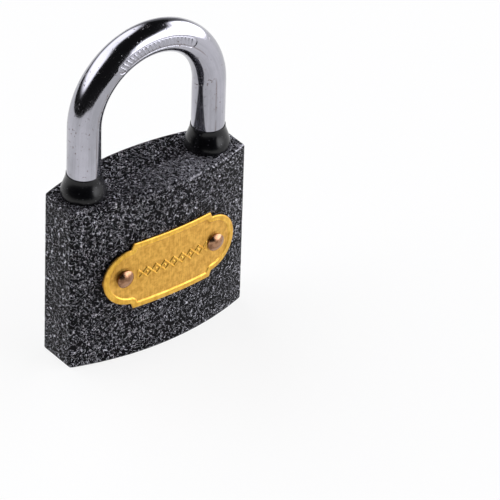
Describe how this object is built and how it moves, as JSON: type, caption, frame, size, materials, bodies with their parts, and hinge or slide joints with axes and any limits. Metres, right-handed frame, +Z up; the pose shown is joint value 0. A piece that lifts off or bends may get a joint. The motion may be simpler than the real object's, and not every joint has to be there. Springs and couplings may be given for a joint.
{
  "type": "padlock",
  "caption": "Padlock with a lens-shaped black hammer-finish case, chromed round shackle in black collars and a riveted brass plate, with its plug, pins and bolt inside.",
  "frame": {"origin": "middle of the case's underside, on the plug's axis", "axes": "+X along the width towards the heel leg, -Y out of the face with the plate, +Z up towards the shackle"},
  "size_m": [0.05, 0.0205, 0.0837],
  "materials": {
    "case_paint": "black and grey hammer-finish enamel",
    "chrome": "polished chrome plate on hardened steel",
    "collar_plastic": "glossy black moulded plastic",
    "plate_brass": "pressed sheet brass, lacquered",
    "rivet_copper": "copper-brown domed rivets",
    "plug_brass": "turned brass",
    "steel": "zinc-plated steel",
    "spring_steel": "spring wire"
  },
  "bodies": {
    "case": {"body": "case_paint", "toe_collar": "collar_plastic", "heel_collar": "collar_plastic", "name_plate": "plate_brass", "plate_rivet_left": "rivet_copper", "plate_rivet_right": "rivet_copper", "heel_retaining_pin": "case_paint", "bolt_spring_seat": "steel", "bolt_spring": "spring_steel", "shackle_spring": "spring_steel", "plug_retaining_pin": "steel", "chamber_strip": "case_paint", "pin_spring_1": "spring_steel", "pin_spring_2": "spring_steel", "pin_spring_3": "spring_steel", "pin_spring_4": "spring_steel"},
    "shackle": {"shackle": "chrome"},
    "plug": {"plug": "plug_brass", "cam_pin": "steel"},
    "bolt": {"bolt": "steel"},
    "key_pin_1": {"key_pin_1": "plug_brass"},
    "driver_pin_1": {"driver_pin_1": "steel"},
    "key_pin_2": {"key_pin_2": "plug_brass"},
    "driver_pin_2": {"driver_pin_2": "steel"},
    "key_pin_3": {"key_pin_3": "plug_brass"},
    "driver_pin_3": {"driver_pin_3": "steel"},
    "key_pin_4": {"key_pin_4": "plug_brass"},
    "driver_pin_4": {"driver_pin_4": "steel"}
  },
  "joints": [
    {"name": "shackle_lift", "type": "slide", "parent": "case", "child": "shackle", "axis": [0, 0, 1], "range_m": [0, 0.018], "deforming": ["shackle_spring"]},
    {"name": "plug_turn", "type": "hinge", "parent": "case", "child": "plug", "pos_m": [0, 0, 0], "axis": [0, 0, 1], "range_deg": [-90, 0]},
    {"name": "bolt_slide", "type": "slide", "parent": "case", "child": "bolt", "axis": [1, 0, 0], "range_m": [-0.0027, 0], "deforming": ["bolt_spring"]},
    {"name": "key_pin_1_drop", "type": "slide", "parent": "plug", "child": "key_pin_1", "axis": [0, 1, 0], "range_m": [0, 0.00195]},
    {"name": "key_pin_2_drop", "type": "slide", "parent": "plug", "child": "key_pin_2", "axis": [0, 1, 0], "range_m": [0, 0.00135]},
    {"name": "key_pin_3_drop", "type": "slide", "parent": "plug", "child": "key_pin_3", "axis": [0, 1, 0], "range_m": [0, 0.00165]},
    {"name": "key_pin_4_drop", "type": "slide", "parent": "plug", "child": "key_pin_4", "axis": [0, 1, 0], "range_m": [0, 0.00105]},
    {"name": "driver_pin_1_press", "type": "slide", "parent": "case", "child": "driver_pin_1", "axis": [-1, 0, 0], "range_m": [0, 0.002], "stiffness_N_per_m": 250, "springref_m": -0.002, "deforming": ["pin_spring_1"]},
    {"name": "driver_pin_2_press", "type": "slide", "parent": "case", "child": "driver_pin_2", "axis": [-1, 0, 0], "range_m": [0, 0.002], "stiffness_N_per_m": 250, "springref_m": -0.002, "deforming": ["pin_spring_2"]},
    {"name": "driver_pin_3_press", "type": "slide", "parent": "case", "child": "driver_pin_3", "axis": [-1, 0, 0], "range_m": [0, 0.002], "stiffness_N_per_m": 250, "springref_m": -0.002, "deforming": ["pin_spring_3"]},
    {"name": "driver_pin_4_press", "type": "slide", "parent": "case", "child": "driver_pin_4", "axis": [-1, 0, 0], "range_m": [0, 0.002], "stiffness_N_per_m": 250, "springref_m": -0.002, "deforming": ["pin_spring_4"]}
  ],
  "couplings": [
    {"joint": "bolt_slide", "follows": "plug_turn", "m_per_rad": 0.0017106}
  ]
}
